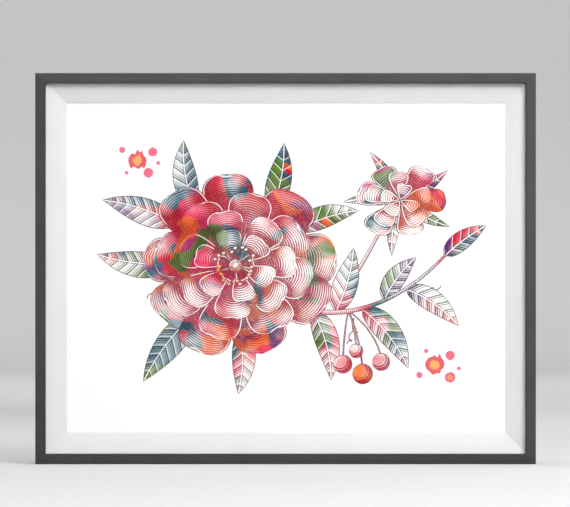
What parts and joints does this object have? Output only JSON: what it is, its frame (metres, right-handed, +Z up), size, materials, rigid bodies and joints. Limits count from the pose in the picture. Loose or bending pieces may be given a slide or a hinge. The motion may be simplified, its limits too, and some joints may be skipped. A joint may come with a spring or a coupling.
{
  "type": "framed print",
  "caption": "Picture frame with a slim charcoal moulding, white sloping liner, clear pane and a landscape botanical print, backed by a tabbed board with a sawtooth hanger.",
  "frame": {"origin": "on the surface it stands on, under the middle of the frame, halfway through its depth", "axes": "-Y is the front that shows the print, +X is the viewer's right, +Z is up"},
  "size_m": [0.457, 0.028, 0.357],
  "materials": {
    "rail_lacquer": "satin charcoal lacquer on wood",
    "liner_white": "matte white paint on wood",
    "pane": "clear, smooth",
    "print_paper": "matte art paper with a printed botanical design",
    "mount_card": "uncoated board",
    "back_fibreboard": "bare brown fibreboard",
    "fixing_steel": "zinc-plated steel"
  },
  "bodies": {
    "root": {"rail_top": "rail_lacquer", "rail_bottom": "rail_lacquer", "rail_left": "rail_lacquer", "rail_right": "rail_lacquer", "glazing": "pane", "liner_top": "liner_white", "liner_bottom": "liner_white", "liner_left": "liner_white", "liner_right": "liner_white", "art_print": "print_paper", "mount_board": "mount_card", "backing_board": "back_fibreboard", "tab_top_1": "fixing_steel", "tab_top_2": "fixing_steel", "tab_top_3": "fixing_steel", "tab_bottom_1": "fixing_steel", "tab_bottom_2": "fixing_steel", "tab_bottom_3": "fixing_steel", "tab_left_1": "fixing_steel", "tab_left_2": "fixing_steel", "tab_right_1": "fixing_steel", "tab_right_2": "fixing_steel", "hanger": "fixing_steel", "rivet_left": "fixing_steel", "rivet_right": "fixing_steel"}
  },
  "joints": []
}
